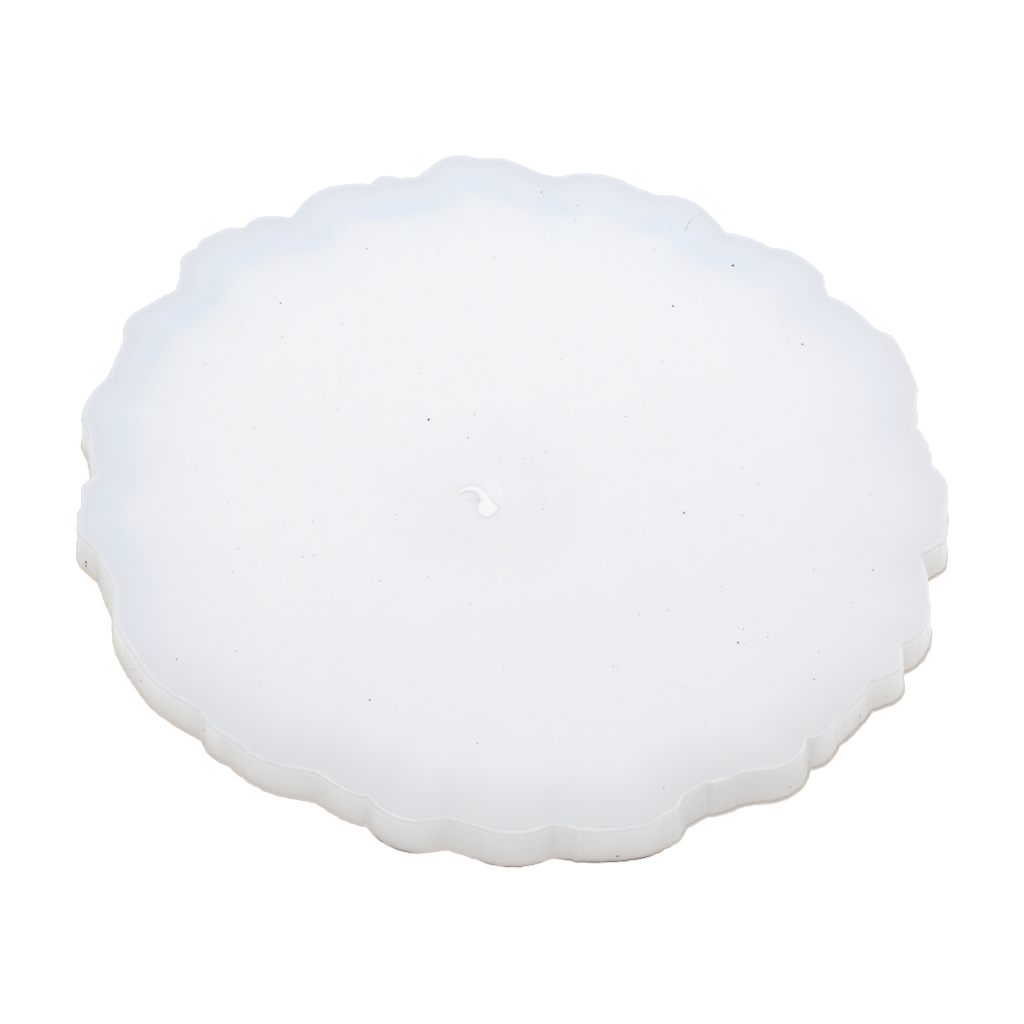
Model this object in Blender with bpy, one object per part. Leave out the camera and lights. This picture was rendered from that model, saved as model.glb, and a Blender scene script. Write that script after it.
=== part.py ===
"""Silicone casting mould for a round, wavy-edged tray, lying on its mouth with its back up.

The mould is one moulding, so the model is one object. From the top it has a flat back, a
rounded edge, a drafted wall that follows the wavy outline, and a thin lip round the mouth.
Underneath, the casting cavity opens downwards. Its own drafted wall keeps an even distance
from the outside, and a fillet leads into its flat floor.

Metres, +Z up. The origin is on the mouth plane, in the middle of the plan.
"""
import math

import bmesh
import bpy
import numpy as np

# Driving dimensions, in metres.
WIDTH = 0.2209              # plan size along X, over the lip
HEIGHT = 0.0120             # mouth plane to back face
FLOOR_THICKNESS = 0.0040    # back face to cavity floor
RIM_THICKNESS = 0.0060      # solid rim round the cavity, measured at the mouth
EDGE_RADIUS = 0.0008        # between the wall and the back face
FILLET_RADIUS = 0.0015      # between the cavity's wall and its floor
MOUTH_CHAMFER = 0.0005      # on the cavity's edge at the mouth
LIP_PROUD = 0.0006          # how far the lip stands out from the wall
LIP_HEIGHT = 0.0009
DRAFT = math.radians(2.5)   # on the outer wall and on the cavity's wall
SOFTENING = 0.0005          # how far the corners of the outline are eased

# How finely the outline is drawn.
RING_SPACING = 0.0018       # between neighbouring points of a ring
FINE_STEPS = 8              # extra steps between them, while the outline is worked out
ROUND_STEPS = 3             # faces across each rounded edge

# The foot of the wall, anticlockwise from +X, as arcs between corners. They were typed by hand
# and then corrected against measured offsets. Each row is the corner's bearing in degrees, its
# radius in mm, and the rise in mm of the arc that leads to the next corner: above zero it
# bulges out, below zero it is hollow.
CORNERS = [
    (1.5, 106.5, 1.0), (8.5, 104.3, -0.4), (15.0, 108.1, 0.6), (25.0, 109.0, -0.2),
    (27.5, 105.9, 1.1), (35.5, 102.5, -0.3), (39.0, 105.7, 0.7), (46.0, 105.2, 0.0),
    (48.5, 102.3, 1.0), (55.0, 99.7, 0.2), (60.5, 104.0, 1.6), (68.0, 102.9, 0.2),
    (71.0, 103.4, 3.0), (83.0, 102.7, 0.0), (85.5, 103.2, 0.2), (91.0, 108.6, 0.0),
    (95.0, 109.1, 1.6), (100.5, 109.5, 0.0), (104.0, 105.2, 0.0), (106.5, 105.6, 2.0),
    (111.0, 106.4, 0.4), (115.0, 109.0, 0.7), (119.5, 109.3, 0.2), (124.0, 105.3, 0.2),
    (127.0, 109.7, 0.8), (130.5, 109.8, 0.3), (132.5, 113.0, 0.0), (134.5, 113.5, 0.8),
    (137.5, 113.3, 0.3), (140.5, 113.5, -0.4), (145.0, 107.7, 0.0), (150.0, 111.1, 2.0),
    (156.0, 110.3, -0.2), (163.5, 109.1, 1.5), (171.0, 111.3, 0.0), (173.5, 108.3, 0.2),
    (180.5, 105.1, 0.5), (182.0, 108.4, 0.2), (185.0, 108.5, 0.8), (190.5, 109.9, 0.2),
    (194.0, 105.9, 0.2), (200.5, 105.2, 0.3), (206.0, 108.0, 0.6), (216.5, 108.1, 0.3),
    (224.5, 104.6, 1.3), (230.0, 105.2, 1.2), (238.5, 104.9, 0.0), (243.0, 102.2, 1.0),
    (251.0, 104.0, 3.6), (261.5, 105.3, 0.2), (265.5, 107.2, 2.4), (275.0, 107.0, -0.2),
    (278.5, 109.0, 0.4), (286.5, 111.2, 0.0), (291.0, 109.8, 0.0), (293.0, 106.8, 0.0),
    (296.0, 106.1, 0.5), (300.5, 107.4, -0.2), (304.0, 110.3, 1.0), (309.0, 111.1, 0.2),
    (311.0, 108.7, 1.4), (316.0, 109.0, 0.4), (323.5, 108.9, 0.1), (326.0, 111.9, 0.7),
    (328.5, 111.9, 0.2), (330.5, 109.6, 2.7), (339.0, 110.4, 0.4), (345.5, 105.2, 0.1),
    (348.5, 110.2, 0.4), (353.0, 109.4, 0.5), (359.0, 109.6, 0.1),
]

# How much further in the top of the wall stands, in mm, on top of the draft, at a few bearings
# in degrees. The master was shaped by hand, so its wall isn't equally steep all round.
EXTRA_LEAN = [
    (190, 0.1), (200, 0.6), (206, 0.2), (212, 0.0), (218, -0.3), (235, -0.3), (241, 0.0),
    (249, -0.3), (256, -0.1), (262, 0.2), (275, 0.5), (282, -0.2), (287, 0.0), (291, 0.8),
    (296, 1.1), (307, 1.1), (312, 0.5), (318, 0.1), (328, 0.4), (345, 0.1), (360, 0.0),
]


def arc_points(start, end, rise, spacing):
    """Points from start up to, but not at, end, along an arc that rises to the right."""
    chord = end - start
    length = math.hypot(*chord)
    steps = FINE_STEPS * max(2, round(length / spacing))
    along = np.arange(steps) / steps
    if rise == 0:
        return start + along[:, None] * chord
    radius = (length ** 2 / 4 + rise ** 2) / (2 * abs(rise))
    half_angle = math.asin(length / (2 * radius))
    angle = (2 * along - 1) * half_angle
    sideways = math.copysign(1, rise) * radius * (np.cos(angle) - math.cos(half_angle))
    forward = radius * np.sin(angle)
    unit = chord / length
    right = np.array([unit[1], -unit[0]])
    return (start + end) / 2 + forward[:, None] * unit + sideways[:, None] * right


def drawn_outline(spacing):
    """The corners of the outline joined by their arcs, as a fine closed ring."""
    corners = [0.001 * radius * np.array([math.cos(math.radians(bearing)),
                                          math.sin(math.radians(bearing))])
               for bearing, radius, rise in CORNERS]
    arcs = [arc_points(corners[k], corners[(k + 1) % len(corners)], 0.001 * CORNERS[k][2], spacing)
            for k in range(len(corners))]
    return np.concatenate(arcs)


def softened(ring):
    """Ease the corners of a fine ring: each point moves to the weighted mean of its stretch."""
    steps = np.linalg.norm(np.roll(ring, -1, axis=0) - ring, axis=1)
    place = np.concatenate([[0.0], np.cumsum(steps)[:-1]])
    gap = np.abs(place[:, None] - place[None, :])
    gap = np.minimum(gap, steps.sum() - gap)
    weight = np.exp(-0.5 * (gap / SOFTENING) ** 2) * (steps + np.roll(steps, 1))
    return weight @ ring / weight.sum(axis=1, keepdims=True)


def wall_outline():
    """The foot of the wall: a fine ring, centred on the origin and WIDTH wide over the lip."""
    ring = softened(drawn_outline(RING_SPACING))
    for axis in (0, 1):
        ring[:, axis] -= (ring[:, axis].max() + ring[:, axis].min()) / 2
    return ring * (WIDTH / 2 - LIP_PROUD) / ring[:, 0].max()


def moved_in(outline, inset):
    """One point per ring point, `inset` in from the outline, or out from it if below zero.

    Each point stays on its bearing from the centre, and goes as far as a disc of radius
    `inset` can go before it touches the outline. So the rings match point for point, and
    they never cross at a notch.
    """
    points = outline[::FINE_STEPS]
    if inset == 0:
        return points
    bearing = points / np.linalg.norm(points, axis=1, keepdims=True)
    along = bearing @ outline.T
    across = np.abs(bearing[:, :1] * outline[:, 1] - bearing[:, 1:] * outline[:, 0])
    reach = np.sqrt(np.maximum(inset ** 2 - across ** 2, 0))
    near = (across < abs(inset)) & (along > 0)
    if inset > 0:
        radius = np.where(near, along - reach, np.inf).min(axis=1)
    else:
        radius = np.where(near, along + reach, -np.inf).max(axis=1)
    return bearing * radius[:, None]


def leaned(points, share):
    """The points of a ring again, moved in by this share of the wall's extra lean."""
    bearing = np.degrees(np.arctan2(points[:, 1], points[:, 0]))
    extra = 0.001 * np.interp(bearing, *zip(*EXTRA_LEAN), period=360)
    return points * (1 - share * extra / np.linalg.norm(points, axis=1))[:, None]


def quarter_round(inset, height, radius):
    """(inset, height) pairs round a corner, from level at the height to upright at the inset."""
    angles = [math.pi / 2 * step / ROUND_STEPS for step in range(ROUND_STEPS + 1)]
    return [(inset + radius * (1 - math.sin(a)), height - radius * (1 - math.cos(a)))
            for a in angles]


def mould_section():
    """The section through the rim as (inset from the wall's foot, height, share of extra lean).

    It runs from the back face over the edge, down the wall, round the lip, across the mouth
    rim and up the cavity's wall to the cavity floor. Only the edge has the extra lean.
    """
    lean = math.tan(DRAFT)
    wall_top = HEIGHT - EDGE_RADIUS
    wall_top_inset = (wall_top - LIP_HEIGHT) * lean
    cavity_top = HEIGHT - FLOOR_THICKNESS
    cavity_wall_top = cavity_top - FILLET_RADIUS
    cavity_wall_inset = RIM_THICKNESS + (cavity_wall_top - MOUTH_CHAMFER) * lean
    edge = quarter_round(wall_top_inset, HEIGHT, EDGE_RADIUS)
    lip = [(0.0, LIP_HEIGHT), (-LIP_PROUD, LIP_HEIGHT), (-LIP_PROUD, 0.0)]
    mouth = [(RIM_THICKNESS - MOUTH_CHAMFER, 0.0), (RIM_THICKNESS, MOUTH_CHAMFER)]
    fillet = quarter_round(cavity_wall_inset, cavity_top, FILLET_RADIUS)[::-1]
    return ([(inset, height, 1.0) for inset, height in edge]
            + [(inset, height, 0.0) for inset, height in lip + mouth + fillet])


def lofted(name, outline, section, collection, material):
    """A closed body that joins one ring per section point, with a flat cap at each end."""
    mesh = bpy.data.meshes.new(name)
    bm = bmesh.new()
    rings = [[bm.verts.new((x, y, height)) for x, y in leaned(moved_in(outline, inset), share)]
             for inset, height, share in section]
    count = len(rings[0])
    for upper, lower in zip(rings, rings[1:]):
        for k in range(count):
            after = (k + 1) % count
            bm.faces.new((upper[k], lower[k], lower[after], upper[after]))
    for ring, height in ((rings[0], section[0][1]), (rings[-1], section[-1][1])):
        centre = bm.verts.new((0.0, 0.0, height))
        for k in range(count):
            bm.faces.new((centre, ring[k], ring[(k + 1) % count]))
    bmesh.ops.recalc_face_normals(bm, faces=bm.faces)
    bm.to_mesh(mesh)
    bm.free()
    mesh.shade_smooth()
    mesh.set_sharp_from_angle(angle=math.radians(40))
    mesh.materials.append(material)
    piece = bpy.data.objects.new(name, mesh)
    collection.objects.link(piece)
    return piece


def silicone():
    """Milky translucent casting silicone, satin where it was moulded."""
    material = bpy.data.materials.new("milky_silicone")
    material.use_nodes = True
    shader = material.node_tree.nodes["Principled BSDF"]
    shader.inputs["Base Color"].default_value = (0.86, 0.87, 0.89, 1.0)
    shader.inputs["Roughness"].default_value = 0.45
    shader.inputs["Metallic"].default_value = 0.0
    return material


def build():
    for old in list(bpy.data.objects):
        bpy.data.objects.remove(old)
    collection = bpy.data.collections.new("resin_casting_mould")
    bpy.context.scene.collection.children.link(collection)
    lofted("mould_body", wall_outline(), mould_section(), collection, silicone())


build()
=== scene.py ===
# %% [markdown]
# # A silicone casting mould, lying on its mouth
#
# This mould casts a round tray with a wavy, agate-slice edge. It is one piece of milky
# silicone. It lies face down, so what shows is its flat back, the rounded edge round it, the
# wall that follows the wavy outline, and the thin lip round the mouth. The cavity is below.
#
# The sizes come from the CAD model, which is loaded first and stays hidden under the finished
# surface. Lengths are in metres in Blender, and in millimetres where a name ends in `_MM`.

# %% Load the CAD model
import math

import bmesh
import bpy
import numpy as np
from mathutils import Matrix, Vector


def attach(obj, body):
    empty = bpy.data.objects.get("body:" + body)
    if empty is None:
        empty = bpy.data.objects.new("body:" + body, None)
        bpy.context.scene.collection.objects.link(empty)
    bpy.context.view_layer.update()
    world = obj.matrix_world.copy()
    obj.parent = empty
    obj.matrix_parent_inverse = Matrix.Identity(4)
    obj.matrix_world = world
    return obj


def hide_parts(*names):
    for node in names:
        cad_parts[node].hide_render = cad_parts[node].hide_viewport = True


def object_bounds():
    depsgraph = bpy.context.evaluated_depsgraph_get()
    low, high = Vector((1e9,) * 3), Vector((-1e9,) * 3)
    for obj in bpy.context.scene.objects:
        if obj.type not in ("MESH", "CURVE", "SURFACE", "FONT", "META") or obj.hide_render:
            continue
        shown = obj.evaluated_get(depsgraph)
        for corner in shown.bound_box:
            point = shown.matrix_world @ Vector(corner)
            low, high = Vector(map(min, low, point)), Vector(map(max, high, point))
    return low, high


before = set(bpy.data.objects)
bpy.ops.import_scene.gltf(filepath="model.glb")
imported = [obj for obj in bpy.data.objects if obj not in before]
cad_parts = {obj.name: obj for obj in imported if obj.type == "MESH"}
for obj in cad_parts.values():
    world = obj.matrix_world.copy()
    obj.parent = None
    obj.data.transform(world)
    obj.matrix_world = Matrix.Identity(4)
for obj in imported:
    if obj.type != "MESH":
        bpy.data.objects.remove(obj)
cad_low, cad_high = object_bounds()
scene = bpy.context.scene
MM = 0.001
HEIGHT_MM = (cad_high.z - cad_low.z) / MM
print("CAD box in mm:", [round(side / MM, 1) for side in cad_high - cad_low])

# %% [markdown]
# ## The outline
#
# Everything on the mould follows one wavy line: the foot of its wall. It could be drawn again
# with a curve, but the CAD model already has it, as the ring of corners where the wall meets
# the lip. Reading that ring keeps the two models the same. The lip's own corners are at the
# same height, so at each bearing the corner nearer to the middle is the wall's.

# %% Read the foot of the wall
LIP_HEIGHT_MM = 0.9


def foot_of_wall():
    """The CAD ring at the lip's height, anticlockwise, as an array of x, y in mm."""
    corners = np.array([corner.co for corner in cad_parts["mould_body"].data.vertices]) / MM
    level = corners[np.abs(corners[:, 2] - LIP_HEIGHT_MM) < 0.02]
    nearest = {}
    for x, y, z in level:
        bearing = round(math.atan2(y, x), 4)
        reach = math.hypot(x, y)
        if bearing not in nearest or reach < nearest[bearing][0]:
            nearest[bearing] = (reach, x, y)
    return np.array([nearest[bearing][1:] for bearing in sorted(nearest)])


foot = foot_of_wall()
print("corners in the CAD outline:", len(foot))

# %% [markdown]
# The CAD ring is coarse, so a smooth closed curve goes through its corners. A Catmull-Rom
# curve passes through every point and needs no handles. The master that such a mould is cast
# from is shaped by hand, so its wall isn't smooth: shallow flutes run down it. A sum of waves
# with a whole number of turns round the outline gives them, and still closes up. Where two
# lobes meet, the wall has a sharp crease, so each notch is pulled in a little more. A few
# creases aren't in a notch: each is in `NICKS`, as its bearing in degrees and its depth in mm.
# Along two stretches the lobes run into each other instead, so the outline is eased there by a
# running average before the creases are looked for.

# %% Smooth the outline and add the flutes
RING_POINTS = 1152          # halves five times on the way in, down to 36
FINE_POINTS = 4 * RING_POINTS
FLUTE_DEPTH_MM = 0.03
NOTCH_WINDOW = 14           # points on each side that a notch has to be deeper than
SMALLEST_NOTCH_MM = 0.25    # shallower notches get no crease
FULL_NOTCH_MM = 0.7         # this depth and more gets the whole crease
CREASE_DEPTH_MM = 0.35
CREASE_WIDTH_MM = 0.5
NICKS = [(289.0, 0.25), (292.6, 0.3), (311.0, 0.35), (316.5, 0.4), (323.0, 0.25), (329.6, 0.35)]
SOFT_STRETCHES = [(230, 247), (253, 288)]     # bearings where the notches are rounded
SOFT_MM = 1.5
rng = np.random.default_rng(7)


def bearings_of(points):
    """The bearing of each point from the middle, from 0 to 360 degrees."""
    return np.degrees(np.arctan2(points[:, 1], points[:, 0])) % 360


def evenly(ring, count):
    """The closed ring again, as `count` points an equal way apart."""
    closed = np.vstack([ring, ring[:1]])
    place = np.concatenate([[0], np.cumsum(np.linalg.norm(np.diff(closed, axis=0), axis=1))])
    wanted = np.arange(count) / count * place[-1]
    return np.stack([np.interp(wanted, place, closed[:, axis]) for axis in (0, 1)], axis=1)


def smooth_curve(ring, steps=24):
    """A closed Catmull-Rom curve through the ring's points."""
    before, after, beyond = np.roll(ring, 1, 0), np.roll(ring, -1, 0), np.roll(ring, -2, 0)
    t = (np.arange(steps) / steps)[None, :, None]
    a, b, c, d = (points[:, None, :] for points in (before, ring, after, beyond))
    curve = b + 0.5 * t * (c - a + t * (2 * a - 5 * b + 4 * c - d + t * (3 * b - a - 3 * c + d)))
    return curve.reshape(-1, 2)


def eased(ring):
    """The ring with its corners rounded along the soft stretches."""
    step = np.linalg.norm(np.diff(ring, axis=0), axis=1).mean()
    reach = int(3 * SOFT_MM / step)
    weights = np.exp(-0.5 * (np.arange(-reach, reach + 1) * step / SOFT_MM) ** 2)
    average = sum(weight * np.roll(ring, shift, axis=0)
                  for shift, weight in zip(range(-reach, reach + 1), weights / weights.sum()))
    bearing = bearings_of(ring)
    share = np.zeros(len(ring))
    for start, end in SOFT_STRETCHES:
        inside = np.minimum(bearing - start, end - bearing)
        share = np.maximum(share, np.clip(inside / 2 + 0.5, 0, 1))
    return ring + share[:, None] * (average - ring)


def flutes(count):
    """How far each of `count` points along the outline stands out, in mm."""
    turn = 2 * math.pi * np.arange(count) / count
    waves = [rng.uniform(0.4, 1.0) * np.sin(rng.integers(70, 330) * turn + rng.uniform(0, 6.3))
             for _ in range(16)]
    return FLUTE_DEPTH_MM * np.sum(waves, axis=0)


def creases(ring):
    """How far each point is pulled in to sharpen the notches, in mm, and where the notches are."""
    reach = np.linalg.norm(ring, axis=1)
    around = np.arange(-NOTCH_WINDOW, NOTCH_WINDOW + 1)
    nearby = reach[(np.arange(len(ring))[:, None] + around) % len(ring)]
    notches = np.flatnonzero((reach <= nearby.min(axis=1)) & (np.ptp(nearby, axis=1) > SMALLEST_NOTCH_MM))
    step = np.linalg.norm(np.diff(ring, axis=0), axis=1).mean()
    pulled = np.zeros(len(ring))
    for notch in notches:
        away = np.abs((np.arange(len(ring)) - notch + len(ring) // 2) % len(ring) - len(ring) // 2)
        depth = CREASE_DEPTH_MM * min(np.ptp(nearby[notch]) / FULL_NOTCH_MM, 1)
        pulled = np.maximum(pulled, depth * np.exp(-away * step / CREASE_WIDTH_MM))
    bearing = bearings_of(ring)
    for nick, depth in NICKS:
        away = np.abs(np.radians(bearing - nick)) * reach
        pulled = np.maximum(pulled, depth * np.exp(-away / CREASE_WIDTH_MM))
    return pulled, notches


outline = eased(evenly(smooth_curve(foot), FINE_POINTS))
pulled_in, notches = creases(outline)
stands_out = flutes(FINE_POINTS) - pulled_in
outline *= 1 + stands_out[:, None] / np.linalg.norm(outline, axis=1, keepdims=True)
print("outline in mm:", np.round(np.ptp(outline, axis=0), 1), "and", len(notches), "notches")

# %% [markdown]
# ## Rings at a distance from the outline
#
# Each level of the mould is the outline moved in or out: in for the edge and the cavity, out
# for the lip. Scaling the outline would thin the wall at the sides of each notch. So a point
# slides along its bearing until a disc round it, with the inset as its radius, just touches the
# outline, which keeps the distance true. Points keep their bearings, so rings always match
# point for point.

# %% Move the outline in or out
bearings = outline[::4] / np.linalg.norm(outline[::4], axis=1, keepdims=True)
along = bearings @ outline.T
across = np.abs(bearings[:, :1] * outline[:, 1] - bearings[:, 1:] * outline[:, 0])


def ring_at(inset):
    """RING_POINTS points, `inset` mm in from the outline, or out from it if below zero."""
    if inset == 0:
        return outline[::4]
    reach = np.sqrt(np.maximum(inset ** 2 - across ** 2, 0))
    near = (across < abs(inset)) & (along > 0)
    if inset > 0:
        radius = np.where(near, along - reach, np.inf).min(axis=1)
    else:
        radius = np.where(near, along + reach, -np.inf).max(axis=1)
    return bearings * radius[:, None]


print("narrowest half width, 60 mm in:", round(float(np.linalg.norm(ring_at(60), axis=1).min()), 1))

# %% [markdown]
# ## The section through the rim
#
# A mould like this is described by one section, as a potter's profile describes a bowl. Each
# entry is a distance in from the wall's foot and a height. From the middle of the back it
# goes out and a little up to a bead, over a rounded edge, down the drafted wall, round the lip,
# across the flat mouth rim and up the cavity's wall to the cavity's floor. Liquid silicone
# climbs the side of its tool a little before it sets, and leaves that bead along the edge.
# The wall isn't equally steep all round either: `EXTRA_LEAN` says how much further in its top
# stands, in mm, at a few bearings in degrees.

# %% Write the section
EDGE_RADIUS_MM = 0.6
LIP_PROUD_MM = 0.6
RIM_THICKNESS_MM = 6.0
FLOOR_THICKNESS_MM = 4.0
FILLET_RADIUS_MM = 1.5
LEAN = math.tan(math.radians(2.5))
BEAD_HEIGHT_MM = 0.14
BEAD_FOOT_MM = 2.3          # the inset where the bead runs out into the back
DISH_MM = 0.12
FOOT_FILLET_MM = 0.18
LIP_ROUND_MM = 0.22
MOUTH_ROUND_MM = 0.5

WALL_FOOT_MM = LIP_HEIGHT_MM + 0.4
WALL_TOP_MM = HEIGHT_MM - EDGE_RADIUS_MM
WALL_TOP_INSET_MM = (WALL_TOP_MM - LIP_HEIGHT_MM) * LEAN
CAVITY_TOP_MM = HEIGHT_MM - FLOOR_THICKNESS_MM
EXTRA_LEAN = [
    (190, 0.1), (200, 0.6), (206, 0.2), (212, 0.0), (218, -0.3), (235, -0.3), (241, 0.0),
    (249, -0.3), (256, -0.1), (262, 0.2), (275, 0.5), (282, -0.2), (287, 0.0), (291, 0.8),
    (296, 1.1), (307, 1.1), (312, 0.5), (318, 0.1), (328, 0.4), (345, 0.1), (360, 0.0),
]
LEAN_FADES_AT_MM = 10


def round_corner(centre, radius, start, end, steps):
    """(inset, height) points on an arc between two angles in degrees, 0 outwards and 90 up."""
    angles = [math.radians(start + (end - start) * k / steps) for k in range(steps + 1)]
    return [(centre[0] - radius * math.cos(a), centre[1] + radius * math.sin(a)) for a in angles]


def back_height(inset):
    """The back's height: it falls from the bead along the edge, then sinks a little more."""
    bead_top = WALL_TOP_INSET_MM + EDGE_RADIUS_MM
    share = min(max((inset - bead_top) / (BEAD_FOOT_MM - bead_top), 0), 1)
    fall = BEAD_HEIGHT_MM * share * share * (3 - 2 * share)
    dish = DISH_MM * (1 - math.exp(-max(inset - BEAD_FOOT_MM, 0) / 18))
    return HEIGHT_MM - fall - dish


def leaned(points, inset, height):
    """A ring of the outside again, moved in by its share of the wall's extra lean."""
    up = min(max((height - WALL_FOOT_MM) / (WALL_TOP_MM - WALL_FOOT_MM), 0), 1)
    inwards = min(max((inset - BEAD_FOOT_MM) / (LEAN_FADES_AT_MM - BEAD_FOOT_MM), 0), 1)
    extra = up * (1 - inwards) * np.interp(bearings_of(points), *zip(*EXTRA_LEAN), period=360)
    return points * (1 - extra / np.linalg.norm(points, axis=1))[:, None]


back = [(inset, back_height(inset)) for inset in
        (60, 50, 40, 34, 29, 24, 20, 17, 14, 12, 10, 8.5, 7.2, 6.0, 5.0, 4.2, 3.6, 3.1, 2.7, 2.4,
         2.15, 1.95, 1.75, 1.55, 1.4, 1.25)]
edge = round_corner((WALL_TOP_INSET_MM + EDGE_RADIUS_MM, WALL_TOP_MM), EDGE_RADIUS_MM, 90, 0, 10)
wall = [(WALL_TOP_INSET_MM * (1 - k / 6), WALL_TOP_MM + (WALL_FOOT_MM - WALL_TOP_MM) * k / 6)
        for k in range(1, 7)]
foot_fillet = round_corner((-FOOT_FILLET_MM, LIP_HEIGHT_MM + FOOT_FILLET_MM), FOOT_FILLET_MM,
                           180, 270, 3)
lip_top = round_corner((LIP_ROUND_MM - LIP_PROUD_MM, LIP_HEIGHT_MM - LIP_ROUND_MM), LIP_ROUND_MM,
                       90, 0, 4)
lip_foot = [(-LIP_PROUD_MM, 0.35), (-LIP_PROUD_MM, 0.12), (-LIP_PROUD_MM + 0.1, 0.0)]
mouth = [(0.4, 0.0), (2.0, 0.0), (4.0, 0.0)]
mouth_edge = round_corner((RIM_THICKNESS_MM - MOUTH_ROUND_MM, MOUTH_ROUND_MM), MOUTH_ROUND_MM,
                          270, 180, 4)
cavity_inset = RIM_THICKNESS_MM + (CAVITY_TOP_MM - FILLET_RADIUS_MM - MOUTH_ROUND_MM) * LEAN
cavity_wall = [(RIM_THICKNESS_MM + (height - MOUTH_ROUND_MM) * LEAN, height) for height in (2.5, 4.5)]
fillet = round_corner((cavity_inset + FILLET_RADIUS_MM, CAVITY_TOP_MM - FILLET_RADIUS_MM),
                      FILLET_RADIUS_MM, 0, 90, 6)
cavity_floor = [(inset, CAVITY_TOP_MM) for inset in (10, 14, 20, 30, 45, 60)]
print("section points:", sum(map(len, (back, edge, wall, foot_fillet, lip_top, lip_foot, mouth,
                                       mouth_edge, cavity_wall, fillet, cavity_floor))))

# %% [markdown]
# ## Two kinds of lip
#
# The lip is flash, the silicone that crept under the tool's edge. On one side it is a clear
# step. Elsewhere the wall just flares out to the same width. Both kinds are written as equally
# long lists, so that one can turn into the other along the outline. A dark brown is laid in the
# step's crease and along the bottom edge, partly grime and partly painted contact shadow and
# crease shade, so each entry also says how much of it is there.

# %% Write the two feet
STEPPED_BEARINGS = (290.5, 372)       # degrees, from the first to the last of the stepped lip
# Where the dark brown along the foot is stronger: partly grime, partly painted contact shadow.
SHADED_AND_STAINED_STRETCHES = [(252, 258, 1.3), (266, 273.5, 1.5), (276.5, 289, 2.6), (218, 232, 0.3),
                     (322, 342, 0.3)]
PLAIN_SHADE_AND_STAIN = 0.14

stepped_foot = foot_fillet + lip_top + lip_foot
# How dark each ring of the foot is: partly grime, partly painted contact shadow and crease shade.
stepped_shade_and_dirt = [0, 0.1, 0.3, 0.06, 0, 0, 0, 0, 0, 0, 0.05, 0.3]
FLARE_STEPS = len(stepped_foot) - 4
flare_angles = [math.pi / 2 * k / FLARE_STEPS for k in range(FLARE_STEPS + 1)]
plain_foot = [(-LIP_PROUD_MM * (1 - math.cos(a)), 0.3 + 0.78 * (1 - math.sin(a)))
              for a in flare_angles] + [(-LIP_PROUD_MM, 0.2), (-LIP_PROUD_MM, 0.1),
                                        (-LIP_PROUD_MM + 0.1, 0.0)]
plain_shade_and_dirt = [0] * (FLARE_STEPS - 2) + [0.08, 0.35, 0.9, 1.0, 1.0, 1.0]

bearing_degrees = bearings_of(bearings)


def stretch(start, end, fade=2.5):
    """1 between two bearings, fading to 0 outside them, for every bearing."""
    middle, half = (start + end) / 2, (end - start) / 2
    away = np.abs((bearing_degrees - middle + 180) % 360 - 180)
    return 1 / (1 + np.exp((away - half) / (fade / 4)))


step_share = stretch(*STEPPED_BEARINGS)
shade_and_stain_share = PLAIN_SHADE_AND_STAIN + sum(strength * stretch(start, end)
                                for start, end, strength in SHADED_AND_STAINED_STRETCHES)
print("share of the lip that is stepped:", round(float(step_share.mean()), 2))

# %% [markdown]
# ## The mesh
#
# Rings joined one to the next give clean quads with an even grain along the wall, which a
# filled and bevelled curve wouldn't. Towards the middle the rings shrink, so every other point
# is dropped as the insets grow, and the last few rings close on one point. Each point keeps
# its inset, how dark its foot is painted (partly grime, partly painted shade) and its crease as
# attributes, for the finish to read.

# %% Build the mould
HALVE_BEYOND_MM = (8, 13, 19, 28, 45)
CLOSING_SHARES = (0.66, 0.36, 0.12)
CLOSING_INSET_MM = 40       # added to the inset attribute on the way to the middle
MIDDLE_INSET_MM = 100


def thinned(ring, inset):
    """The ring with every other point dropped once for each of the insets that it is beyond."""
    return ring[::2 ** sum(inset > limit for limit in HALVE_BEYOND_MM)]


def stitch(bm, first, second):
    """Join two rings that have as many points as each other, or twice or half as many."""
    outer, inner = (first, second) if len(first) >= len(second) else (second, first)
    count, inner_count = len(outer), len(inner)
    for k in range(inner_count):
        after = inner[(k + 1) % inner_count]
        if count == inner_count:
            bm.faces.new((outer[k], outer[(k + 1) % count], after, inner[k]))
        else:
            left, middle, right = (outer[(2 * k + step) % count] for step in (0, 1, 2))
            bm.faces.new((left, middle, inner[k]))
            bm.faces.new((middle, after, inner[k]))
            bm.faces.new((middle, right, after))


creased = pulled_in[::4] / CREASE_DEPTH_MM


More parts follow.
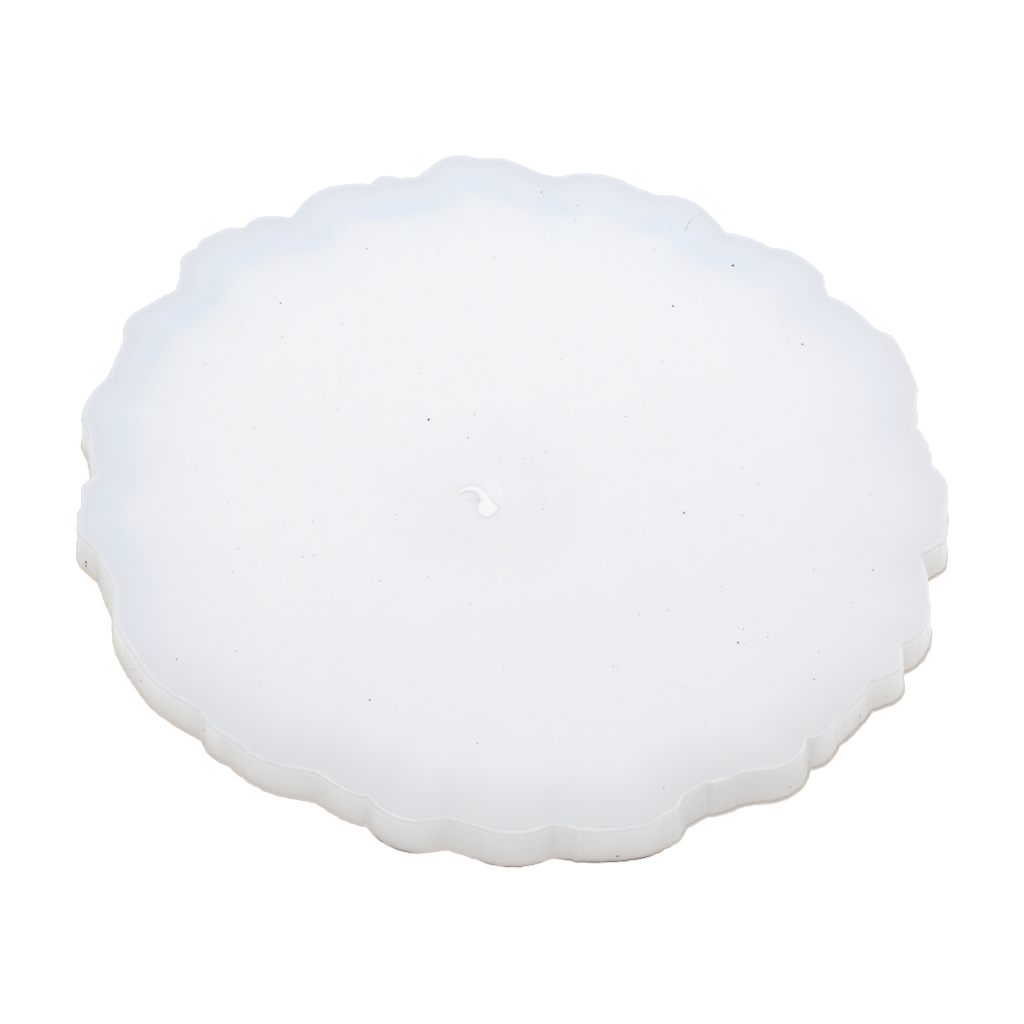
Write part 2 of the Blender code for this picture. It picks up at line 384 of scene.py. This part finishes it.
def mould_mesh():
    """The whole mould as one closed mesh, with its insets in mm, its painted foot shade and grime, and
    its creases.
    """
    bm = bmesh.new()
    inset_layer = bm.verts.layers.float.new("inset_mm")
    # How dark the foot is painted: partly grime, partly painted contact shadow and crease shade.
    shade_and_dirt_layer = bm.verts.layers.float.new("dirt")
    crease_layer = bm.verts.layers.float.new("crease")

    def add_ring(points, heights, inset, dirt=None):
        made = []
        for k, (x, y) in enumerate(points):
            height = heights if np.isscalar(heights) else heights[k]
            corner = bm.verts.new((x * MM, y * MM, height * MM))
            corner[inset_layer] = inset
            corner[shade_and_dirt_layer] = 0 if dirt is None else dirt[k]
            corner[crease_layer] = creased[k] if len(points) == len(creased) else 0
            made.append(corner)
        return made

    def add_rings(section):
        return [add_ring(thinned(ring_at(inset), inset), height, inset)
                for inset, height in section]

    rings = [add_ring(thinned(leaned(ring_at(inset), inset, height), inset), height, inset)
             for inset, height in back + edge + wall]
    share = step_share[:, None]
    for plain, stepped, dirt, crease_shade_and_dirt in zip(plain_foot, stepped_foot, plain_shade_and_dirt,
                                                 stepped_shade_and_dirt):
        points = ring_at(plain[0]) * (1 - share) + ring_at(stepped[0]) * share
        heights = plain[1] * (1 - step_share) + stepped[1] * step_share
        rings.append(add_ring(points, heights, plain[0], shade_and_stain_share *
                              (dirt * (1 - step_share) + crease_shade_and_dirt * step_share)))
    rings += add_rings(mouth + mouth_edge + cavity_wall + fillet + cavity_floor)
    for first, second in zip(rings, rings[1:]):
        stitch(bm, first, second)
    for end, (inset, height) in ((rings[0], back[0]), (rings[-1], cavity_floor[-1])):
        flat = np.array([corner.co.xy for corner in end]) / MM
        last = end
        for share in CLOSING_SHARES:
            ring = add_ring(flat * share, height, inset + (1 - share) * CLOSING_INSET_MM)
            stitch(bm, last, ring)
            last = ring
        middle = add_ring([(0.0, 0.0)], height, MIDDLE_INSET_MM)[0]
        for k in range(len(last)):
            bm.faces.new((last[k], last[(k + 1) % len(last)], middle))
    bmesh.ops.recalc_face_normals(bm, faces=bm.faces)
    mesh = bpy.data.meshes.new("silicone_mould")
    bm.to_mesh(mesh)
    bm.free()
    mesh.shade_smooth()
    return mesh


mould = bpy.data.objects.new("silicone_mould", mould_mesh())
scene.collection.objects.link(mould)
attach(mould, "root")
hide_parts("mould_body")
print("mould faces:", len(mould.data.polygons))

# %% [markdown]
# ## The gate scar
#
# The silicone enters the closed tool through a gate at the middle of the back. When the mould
# is pulled off, the gate tears: a curled flap stands up on one side, and a torn stub is left
# beside it. A voxel sculpt would do, but a height field is easier to aim. It is a fine grid
# whose height comes from one curled stroke and a low mound, and it sinks below the back
# everywhere else, so only the torn silicone shows.

# %% Tear the gate
GATE_AT_MM = (-6.1, -8.0)
PATCH_MM = 17.0
PATCH_STEPS = 110
SUNK_MM = -0.03
SLAB_MM = 0.6               # how deep the scar's hidden part reaches
BACK_AT_GATE_MM = back_height(60)
CURL = [(-7.2, 0.9, 0.25), (-6.4, 1.9, 0.5), (-5.2, 2.5, 0.7), (-3.6, 2.7, 0.9),
        (-2.2, 2.1, 1.0), (-1.1, 0.8, 1.1), (-0.5, -0.8, 1.3), (0.0, -2.2, 1.6)]


def stroke(x, y, points, tall):
    """Height of a rounded roll along the points, each an x, y and half width in mm."""
    best, width = np.full(x.shape, -1.0), np.ones(x.shape)
    for (ax, ay, ar), (bx, by, br) in zip(points, points[1:]):
        run = np.array([bx - ax, by - ay])
        share = np.clip(((x - ax) * run[0] + (y - ay) * run[1]) / (run @ run), 0, 1)
        gap = np.hypot(x - ax - share * run[0], y - ay - share * run[1])
        here = 1 - (gap / (ar + (br - ar) * share)) ** 2
        width = np.where(here > best, ar + (br - ar) * share, width)
        best = np.maximum(best, here)
    width_share = np.clip(width / 1.2, 0.4, 1)
    return (tall * width_share - SUNK_MM) * np.maximum(best, 0) ** 1.5 + SUNK_MM


def mound(x, y, centre, radii, tall, ragged):
    """Height of a low oval mound with an uneven rim."""
    u, v = (x - centre[0]) / radii[0], (y - centre[1]) / radii[1]
    angle = np.arctan2(v, u)
    rim = 1 + ragged * (np.sin(3 * angle + 1) + 0.7 * np.sin(5 * angle + 2.5)
                        + 0.5 * np.sin(9 * angle))
    best = 1 - ((u ** 2 + v ** 2) / rim ** 2) ** 2
    return (tall - SUNK_MM) * np.maximum(best, 0) ** 1.5 + SUNK_MM


def gate_scar_mesh():
    """A closed slab whose top is the torn silicone, and is under the back elsewhere."""
    line = np.linspace(-PATCH_MM / 2, PATCH_MM / 2, PATCH_STEPS + 1)
    x, y = np.meshgrid(line, line)
    heights = np.maximum.reduce([
        stroke(x, y, CURL, 0.20),
        mound(x, y, (0.0, -3.8), (2.7, 2.6), 0.14, 0.06),
    ])
    grain = 0.02 * np.sin(7 * x + 3 * np.sin(2.1 * y)) * np.sin(6 * y + 2 * np.sin(2.7 * x))
    heights = heights + grain * np.clip(heights / 0.1, 0, 1)
    bm = bmesh.new()
    bmesh.ops.create_grid(bm, x_segments=PATCH_STEPS, y_segments=PATCH_STEPS, size=PATCH_MM / 2)
    for corner in bm.verts:
        column = round((corner.co.x / PATCH_MM + 0.5) * PATCH_STEPS)
        row = round((corner.co.y / PATCH_MM + 0.5) * PATCH_STEPS)
        corner.co.z = BACK_AT_GATE_MM + heights[row, column]
    rim = bmesh.ops.extrude_face_region(bm, geom=bm.faces[:])
    for corner in (piece for piece in rim["geom"] if isinstance(piece, bmesh.types.BMVert)):
        corner.co.z = BACK_AT_GATE_MM - SLAB_MM
    bmesh.ops.recalc_face_normals(bm, faces=bm.faces)
    bmesh.ops.translate(bm, verts=bm.verts, vec=(*GATE_AT_MM, 0))
    bmesh.ops.scale(bm, verts=bm.verts, vec=(MM, MM, MM))
    mesh = bpy.data.meshes.new("gate_scar")
    bm.to_mesh(mesh)
    bm.free()
    mesh.shade_smooth()
    return mesh


gate_scar = bpy.data.objects.new("gate_scar", gate_scar_mesh())
scene.collection.objects.link(gate_scar)
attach(gate_scar, "root")
print("gate scar stands above the back by mm:",
      round(max(corner.co.z for corner in gate_scar.data.vertices) / MM - BACK_AT_GATE_MM, 2))

# %% [markdown]
# ## Grit in the surface
#
# Silicone is tacky, so it picks up dust and soot. Painting the specks in the material would
# blur them, because each is under a millimetre. Here each speck is a small flattened stone
# half sunk in the back or the wall. The larger ones and a single hair are placed one by one, and
# the rest at random.

# %% Sow the specks
LARGE_SPECKS = [(-21, 17, 0.34), (75, 42, 0.26), (58, 69, 0.34), (42, 55, 0.28), (43, -13, 0.28),
                (-34, -70, 0.24), (-60, 56, 0.22), (-38, 75, 0.18), (55, -53, 0.26),
                (36, -102.4, 0.22), (36, -95.6, 0.18), (73, -64, 0.20), (8, 95, 0.20),
                (-11, 11, 0.18), (29, 18, 0.16), (-81, -58, 0.18), (89, -31, 0.18)]
SMALL_SPECKS = 85
WALL_SPECKS = [(192.0, 0.36, 4.0), (192.0, 0.36, 2.5), (283.0, 0.30, 1.6), (320.4, 0.28, 4.0),
               (311.0, 0.2, 3.0), (306.6, 0.18, 3.5), (325.0, 0.16, 4.0), (212.0, 0.18, 6.5),
               (214.0, 0.22, 6.0), (225.3, 0.18, 5.5), (209.5, 0.16, 8.5)]
HAIR = ((47.6, 85.6), (45.8, 81.2))


def squashed_stone(bm, place, radii, turn):
    """One irregular speck: a small round stone, squashed and turned about the vertical."""
    made = bmesh.ops.create_icosphere(bm, subdivisions=2, radius=1)["verts"]
    for corner in made:
        x, y, z = corner.co * (1 + 0.18 * rng.standard_normal())
        x, y, z = x * radii[0], y * radii[1], z * radii[2]
        corner.co = (place[0] + x * math.cos(turn) - y * math.sin(turn),
                     place[1] + x * math.sin(turn) + y * math.cos(turn), place[2] + z)


def specks_mesh():
    """All the specks, each its own small closed body."""
    bm = bmesh.new()
    for x, y, radius in LARGE_SPECKS:
        inset_guess = max(np.linalg.norm(outline, axis=1).min() - math.hypot(x, y), 2.5)
        squashed_stone(bm, (x, y, back_height(inset_guess)),
                       (radius, radius * 0.8, 0.07), rng.uniform(0, 3))
    for _ in range(SMALL_SPECKS):
        reach, bearing = 95 * math.sqrt(rng.uniform()), rng.uniform(0, 2 * math.pi)
        radius = rng.uniform(0.07, 0.15)
        place = (reach * math.cos(bearing), reach * math.sin(bearing),
                 back_height(max(100 - reach, 2.5)))
        squashed_stone(bm, place, (radius, radius * 0.8, 0.05), rng.uniform(0, 3))
    for bearing, radius, height in WALL_SPECKS:
        nearest = np.argmin(np.abs(bearing_degrees - bearing))
        inset = LEAN * (height - LIP_HEIGHT_MM)
        x, y = leaned(ring_at(inset), inset, height)[nearest]
        squashed_stone(bm, (x, y, height), (radius * 0.5, radius, radius * 0.8),
                       math.radians(bearing))
    (ax, ay), (bx, by) = HAIR
    squashed_stone(bm, ((ax + bx) / 2, (ay + by) / 2, back_height(12)),
                   (math.hypot(bx - ax, by - ay) / 2, 0.05, 0.05), math.atan2(by - ay, bx - ax))
    bmesh.ops.scale(bm, verts=bm.verts, vec=(MM, MM, MM))
    mesh = bpy.data.meshes.new("grit")
    bm.to_mesh(mesh)
    bm.free()
    mesh.shade_smooth()
    return mesh


grit = bpy.data.objects.new("grit", specks_mesh())
scene.collection.objects.link(grit)
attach(grit, "root")
print("specks:", len(LARGE_SPECKS) + SMALL_SPECKS + len(WALL_SPECKS), "and one hair")

# %% [markdown]
# ## Shader maths as Python
#
# A material is a graph of nodes, and its maths is easier to read as sums. `Wire` stands for
# one output socket. Python's operators on it add Math nodes, and `node` adds any other node:
# its settings first, then the values or wires of its sockets.

# %% A wire that does sums


class Wire:
    """One output socket of a material's graph."""

    def __init__(self, tree, socket=None):
        self.tree = tree
        self.socket = socket

    def node(self, kind, settings, values, out=0):
        """A new node of this kind, as the wire from one of its outputs."""
        made = self.tree.nodes.new(kind)
        for name, setting in settings.items():
            if name == "stops":
                stops = made.color_ramp.elements
                while len(stops) < len(setting):
                    stops.new(1.0)
                for stop, (position, colour) in zip(stops, setting):
                    stop.position, stop.color = position, (*colour, 1.0)
            else:
                setattr(made, name, setting)
        for name, value in values.items():
            if isinstance(value, Wire):
                self.tree.links.new(value.socket, made.inputs[name])
            else:
                made.inputs[name].default_value = value
        return Wire(self.tree, made.outputs[out])

    def maths(self, operation, first, second):
        """One Math node on two wires or numbers."""
        return self.node("ShaderNodeMath", {"operation": operation}, {0: first, 1: second})

    def __add__(self, other):
        return self.maths("ADD", self, other)

    def __sub__(self, other):
        return self.maths("SUBTRACT", self, other)

    def __mul__(self, other):
        return self.maths("MULTIPLY", self, other)

    def __rsub__(self, other):
        return self.maths("SUBTRACT", other, self)

    __radd__ = __add__
    __rmul__ = __mul__

    def smooth_step(self, low, high):
        """0 below low, 1 above high, and a smooth rise between."""
        return self.node("ShaderNodeMapRange", {"interpolation_type": "SMOOTHSTEP"},
                         {"Value": self, "From Min": low, "From Max": high})

    def mixed(self, first, second):
        """Two colours mixed, with this wire as the share of the second."""
        return self.node("ShaderNodeMix", {"data_type": "RGBA"}, {0: self, 6: first, 7: second},
                         out=2)


def new_material(name):
    """A material, its graph to start wires from, and its Principled shader's sockets."""
    material = bpy.data.materials.new(name)
    material.use_nodes = True
    shader = material.node_tree.nodes["Principled BSDF"]
    return material, Wire(material.node_tree), shader.inputs


def plug(wire, socket):
    """Lead a wire into a socket of the material's shader."""
    wire.tree.links.new(wire.socket, socket)


print("Wire operators: + - *, smooth_step and mixed")

# %% [markdown]
# ## Milky silicone
#
# Silicone lets light in and scatters it about, so edges look soft and the thin lip glows. The
# Principled shader's subsurface part does that. Thickness changes the tint: over the solid rim
# the silicone looks grey-blue, and over the hollow it is lighter, because light comes back up
# through it. That light is painted into the base colour, and the inset attribute places it
# exactly, all round the wavy outline. The graph starts with its coordinates and two helpers,
# and four steps follow.

# %% Start the silicone
silicone, start, sockets = new_material("milky_silicone")
place = start.node("ShaderNodeTexCoord", {}, {}, out=3)
x, y, z = (start.node("ShaderNodeSeparateXYZ", {}, {0: place}, out=axis) for axis in (0, 1, 2))
inset = start.node("ShaderNodeAttribute", {"attribute_name": "inset_mm"}, {}, out=2)


def noise(at, size_mm, detail=2.0, rough=0.5):
    """Cloudy noise from 0 to 1 with blobs about this size."""
    return at.node("ShaderNodeTexNoise", {}, {"Vector": at, "Scale": 1 / (size_mm * MM),
                                              "Detail": detail, "Roughness": rough})


def ramp(share, stops):
    """A colour picked by a number from 0 to 1."""
    return share.node("ShaderNodeValToRGB", {"stops": stops}, {0: share})


print("helpers: noise and ramp")

# %% [markdown]
# The back's colour follows the inset, as painted light: darker over the solid rim and lighter
# over the hollow. One ramp is for the warm near side and one for the paler, cooler far side,
# where the light from behind is painted in, and a wide smooth step mixes them. Just inside the
# far edge a painted bluish glow runs along the solid rim, with streaks from cloudy noise.

# %% Colour the back
cloud = noise(place, 28)
BACK_TINT_MM = 36
depth = inset * (1 / BACK_TINT_MM) + (cloud - 0.5) * 0.05
# Painted light: both ramps are darker over the solid rim and lighter over the hollow, where light comes
# back up through the silicone.
near_side_painted_light = ramp(depth, [
    (0.00, (0.815, 0.815, 0.834)), (0.06, (0.825, 0.827, 0.852)), (0.16, (0.845, 0.850, 0.878)),
    (0.27, (0.852, 0.860, 0.887)), (0.45, (0.862, 0.873, 0.905)), (1.00, (0.880, 0.890, 0.930))])
far_side_painted_light = ramp(depth, [
    (0.00, (0.772, 0.792, 0.832)), (0.06, (0.788, 0.812, 0.862)), (0.16, (0.822, 0.848, 0.906)),
    (0.27, (0.838, 0.868, 0.930)), (0.45, (0.868, 0.897, 0.955)), (0.65, (0.895, 0.923, 0.982)),
    (1.00, (0.920, 0.942, 0.998))])
# Painted light: the far side, lit from behind, is paler and bluer.
far_side_light_share = (y - x * 0.45).smooth_step(-0.09, 0.07)
back_tint = far_side_light_share.mixed(near_side_painted_light, far_side_painted_light)
# Painted glow: a bluish band just inside the far edge, along the solid rim.
band_inset = inset - y * 40
far_edge_glow = band_inset.smooth_step(2.5, 7.5) * (1 - band_inset.smooth_step(8.0, 14.0))
streaky = noise(place, 16, 3, 0.6).smooth_step(0.4, 0.65)
back_tint = (far_edge_glow * (0.45 + streaky * 0.55) * far_side_light_share * 0.55).mixed(
    back_tint, (0.755, 0.826, 0.93, 1))
print("the back's ramps reach", BACK_TINT_MM, "mm in from the edge")

# %% [markdown]
# Handling has greyed the skin round the gate. Beside it, the torn silicone has left a paler
# smear, and a painted shadow lies under its curl. These are soft ovals placed from the gate,
# each a mask for one colour.

# %% Colour the skin beside the gate
gate_x, gate_y = x - GATE_AT_MM[0] * MM, y - GATE_AT_MM[1] * MM
near_gate = 1 - (gate_x * gate_x + gate_y * gate_y).smooth_step(0, (32 * MM) ** 2)
smudge = near_gate * (0.28 + noise(place, 18, 2).smooth_step(0.4, 0.65) * 0.22)
back_tint = smudge.mixed(back_tint, (0.850, 0.848, 0.862, 1))


def oval(x_at, y_at, x_radius, y_radius):
    """1 in the middle of a soft oval, 0 outside it. All in mm, and placed from the gate."""
    across, up = gate_x - x_at * MM, gate_y - y_at * MM
    across, up = across * (1 / (x_radius * MM)), up * (1 / (y_radius * MM))
    return 1 - (across * across + up * up).smooth_step(0.0, 1.6)


# Painted shadow under the curl of the torn flap.
back_tint = (oval(-3.3, -0.9, 2.4, 1.2) * 0.26).mixed(back_tint, (0.68, 0.69, 0.68, 1))
back_tint = (oval(1.4, 1.6, 2.8, 4.6) * 0.6).mixed(back_tint, (0.945, 0.955, 1.0, 1))

print("ovals beside the gate: 2")

# %% [markdown]
# The wall has its own ramp by height, painted shade that is darker and warmer low on the wall,
# broken up by noise stretched upright, because rubbing leaves upright streaks. The creases and
# the bead get a painted highlight, and the near edge painted shade. Dust lies everywhere, and
# most of all on the wall, and a dark brown at its foot is partly grime and partly painted
# contact shadow.

# %% Colour the wall, the bead and the dirt
stretched = start.node("ShaderNodeMapping", {}, {"Vector": place, "Scale": (1, 1, 0.06)})
streaks = noise(stretched, 1.4, 3)
# Painted shade: darker and warmer low on the wall, lighter near the top.
wall_painted_shading = ramp(z * (1 / (HEIGHT_MM * MM)) + (streaks - 0.5) * 0.10, [
    (0.00, (0.80, 0.775, 0.75)), (0.08, (0.775, 0.752, 0.728)), (0.20, (0.762, 0.744, 0.722)),
    (0.45, (0.765, 0.755, 0.742)), (0.80, (0.800, 0.796, 0.796)), (0.95, (0.83, 0.83, 0.835))])
# Painted highlight along the wall's creases.
crease = start.node("ShaderNodeAttribute", {"attribute_name": "crease"}, {}, out=2)
wall_painted_shading = (crease.smooth_step(0.15, 0.9) * 0.6).mixed(wall_painted_shading, (0.93, 0.935, 0.94, 1))
on_wall = 1 - z.smooth_step((HEIGHT_MM - 0.9) * MM, (HEIGHT_MM - 0.05) * MM)
clean = on_wall.mixed(back_tint, wall_painted_shading)
# Painted shade on the near edge of the back and the wall below it.
front = (0 - y).smooth_step(0.045, 0.105) * (1 - inset.smooth_step(3, 22))
clean = (front * 0.44).mixed(clean, (0.71, 0.71, 0.708, 1))
# Painted highlight along the bead, stronger on the near side and weaker on the right.
on_bead = z.smooth_step((HEIGHT_MM - 0.45) * MM, (HEIGHT_MM - 0.12) * MM)
on_bead = on_bead * (1 - inset.smooth_step(0.95, 1.5))
bead_highlight_share = on_bead * (0.24 + (0 - y).smooth_step(-0.02, 0.10) * 0.10
                        + noise(place, 10, 3).smooth_step(0.4, 0.65) * 0.25
                        - x.smooth_step(0.02, 0.09) * 0.14)
clean = bead_highlight_share.mixed(clean, (0.97, 0.975, 0.985, 1))
dust = noise(place, 0.8, 3, 0.6).smooth_step(0.60, 0.74) * (0.07 + on_wall * 0.20)
clean = dust.mixed(clean, (0.58, 0.56, 0.54, 1))

# Dark brown at the wall's foot and in the lip's crease: partly grime, partly painted contact shadow and
# crease shade.
dirt = start.node("ShaderNodeAttribute", {"attribute_name": "dirt"}, {}, out=2)
foot_shade_and_stain = dirt * (0.35 + noise(place, 4, 3, 0.6).smooth_step(0.3, 0.7) * 0.65)
plug(foot_shade_and_stain.mixed(clean, (0.06, 0.027, 0.013, 1)), sockets["Base Color"])

print("stained stretches:", len(SHADED_AND_STAINED_STRETCHES))

# %% [markdown]
# The skin is satin, a little rougher on the wall, with a fine grain and upright flutes as bumps.
# Light goes a few millimetres into milky silicone, so the subsurface scale is 2.5 mm.

# %% Finish the silicone
matte = noise(place, 3.5, 3)
plug(0.40 + (matte - 0.5) * 0.12 + on_wall * 0.08, sockets["Roughness"])
grain = noise(place, 0.45, 3)
skin = start.node("ShaderNodeBump", {}, {"Strength": 0.12, "Distance": 0.00012, "Height": grain})
fluted = start.node("ShaderNodeBump", {}, {"Strength": 0.35, "Distance": 0.0003,
                                           "Height": streaks * on_wall, "Normal": skin})
plug(fluted, sockets["Normal"])
sockets["Subsurface Weight"].default_value = 0.6
sockets["Subsurface Radius"].default_value = (1.0, 0.85, 0.75)
sockets["Subsurface Scale"].default_value = 2.5 * MM
sockets["IOR"].default_value = 1.41
mould.data.materials.append(silicone)
print("silicone nodes:", len(silicone.node_tree.nodes))

# %% [markdown]
# ## Torn silicone and grit
#
# A tear scatters light like frosted glass, so the scar is whiter and rougher than the skin
# round it. Grit is nearly black, with a little brown, and rough.

# %% Mix the scar and the grit
torn, start, sockets = new_material("torn_silicone")
place = start.node("ShaderNodeTexCoord", {}, {}, out=3)
frost = noise(place, 0.8, 3)
plug(ramp(frost, [(0.25, (0.97, 0.975, 0.985)), (0.6, (1.0, 1.0, 1.0))]), sockets["Base Color"])
plug(0.5 + frost * 0.2, sockets["Roughness"])
plug(start.node("ShaderNodeBump", {}, {"Strength": 0.4, "Distance": 0.0002, "Height": frost}),
     sockets["Normal"])
gate_scar.data.materials.append(torn)

soot, start, sockets = new_material("grit")
place = start.node("ShaderNodeTexCoord", {}, {}, out=3)
plug(ramp(noise(place, 0.5), [(0.35, (0.02, 0.016, 0.012)), (0.7, (0.10, 0.075, 0.05))]),
     sockets["Base Color"])
sockets["Roughness"].default_value = 0.8
grit.data.materials.append(soot)
print("materials:", len(bpy.data.materials))

# %% [markdown]
# ## Studio
#
# The floor is a wide pale sheet, lit so that it comes out white, with only a thin shadow where
# the mould touches it. The light is soft: a white surround, one broad cool lamp above and one
# behind, and a warmer, weaker one in front. The surround lights the mould dimly, but it is
# white where it is seen, so that the floor's far edge doesn't show from a low angle.

# %% Floor, surround and lamps
SURROUND_LIGHT = 0.36
floor_mesh = bpy.data.meshes.new("floor")
floor_mesh.from_pydata([(-3, -3, -0.0001), (3, -3, -0.0001), (3, 3, -0.0001), (-3, 3, -0.0001)],
                       [], [(0, 1, 2, 3)])
floor = bpy.data.objects.new("floor", floor_mesh)
scene.collection.objects.link(floor)
paper, start, sockets = new_material("white_paper")
sockets["Base Color"].default_value = (0.9, 0.9, 0.9, 1)
sockets["Roughness"].default_value = 0.9
sockets["Emission Color"].default_value = (1, 1, 1, 1)
sockets["Emission Strength"].default_value = 0.65
floor.data.materials.append(paper)

world = bpy.data.worlds.new("white surround")
world.use_nodes = True
surround = world.node_tree.nodes["Background"].inputs
surround["Color"].default_value = (1, 1, 1, 1)
seen = Wire(world.node_tree).node("ShaderNodeLightPath", {}, {})
plug(SURROUND_LIGHT + seen * (1 - SURROUND_LIGHT), surround["Strength"])
scene.world = world


def lamp(name, place, aim, size, power, colour):
    """A square soft lamp at a place, turned to face another."""
    data = bpy.data.lights.new(name, "AREA")
    data.size, data.energy, data.color = size, power, colour
    made = bpy.data.objects.new(name, data)
    scene.collection.objects.link(made)
    made.location = place
    made.rotation_euler = (Vector(aim) - Vector(place)).to_track_quat("-Z", "Y").to_euler()


lamp("overhead lamp", (0.02, 0.24, 0.95), (0, 0.02, 0), 0.5, 5.4, (0.97, 0.985, 1.0))
lamp("back lamp", (0.6, 1.25, 0.55), (0, 0.05, 0), 0.8, 2.8, (0.96, 0.98, 1.0))
lamp("front fill", (0.3, -1.1, 0.5), (0, 0, 0), 0.6, 0.6, (1.0, 0.97, 0.94))

# %% [markdown]
# ## Camera
#
# The camera looks down on the back from the front, far enough away that the two sides keep
# nearly the same width. A long lens from far off flattens depth as a product shot does.

# %% Aim the camera
AIM = Vector((0.00016, -0.00361, 0.0))
DISTANCE = 0.990
TILT = math.radians(52.07)
camera = bpy.data.objects.new("camera", bpy.data.cameras.new("camera"))
camera.location = AIM + DISTANCE * Vector((0, -math.cos(TILT), math.sin(TILT)))
camera.rotation_euler = (math.pi / 2 - TILT, 0, 0)
camera.data.lens = 137.65
camera.data.sensor_width = 36
scene.collection.objects.link(camera)
scene.camera = camera
scene.view_settings.view_transform = "Standard"
print("camera at", [round(part, 3) for part in camera.location])
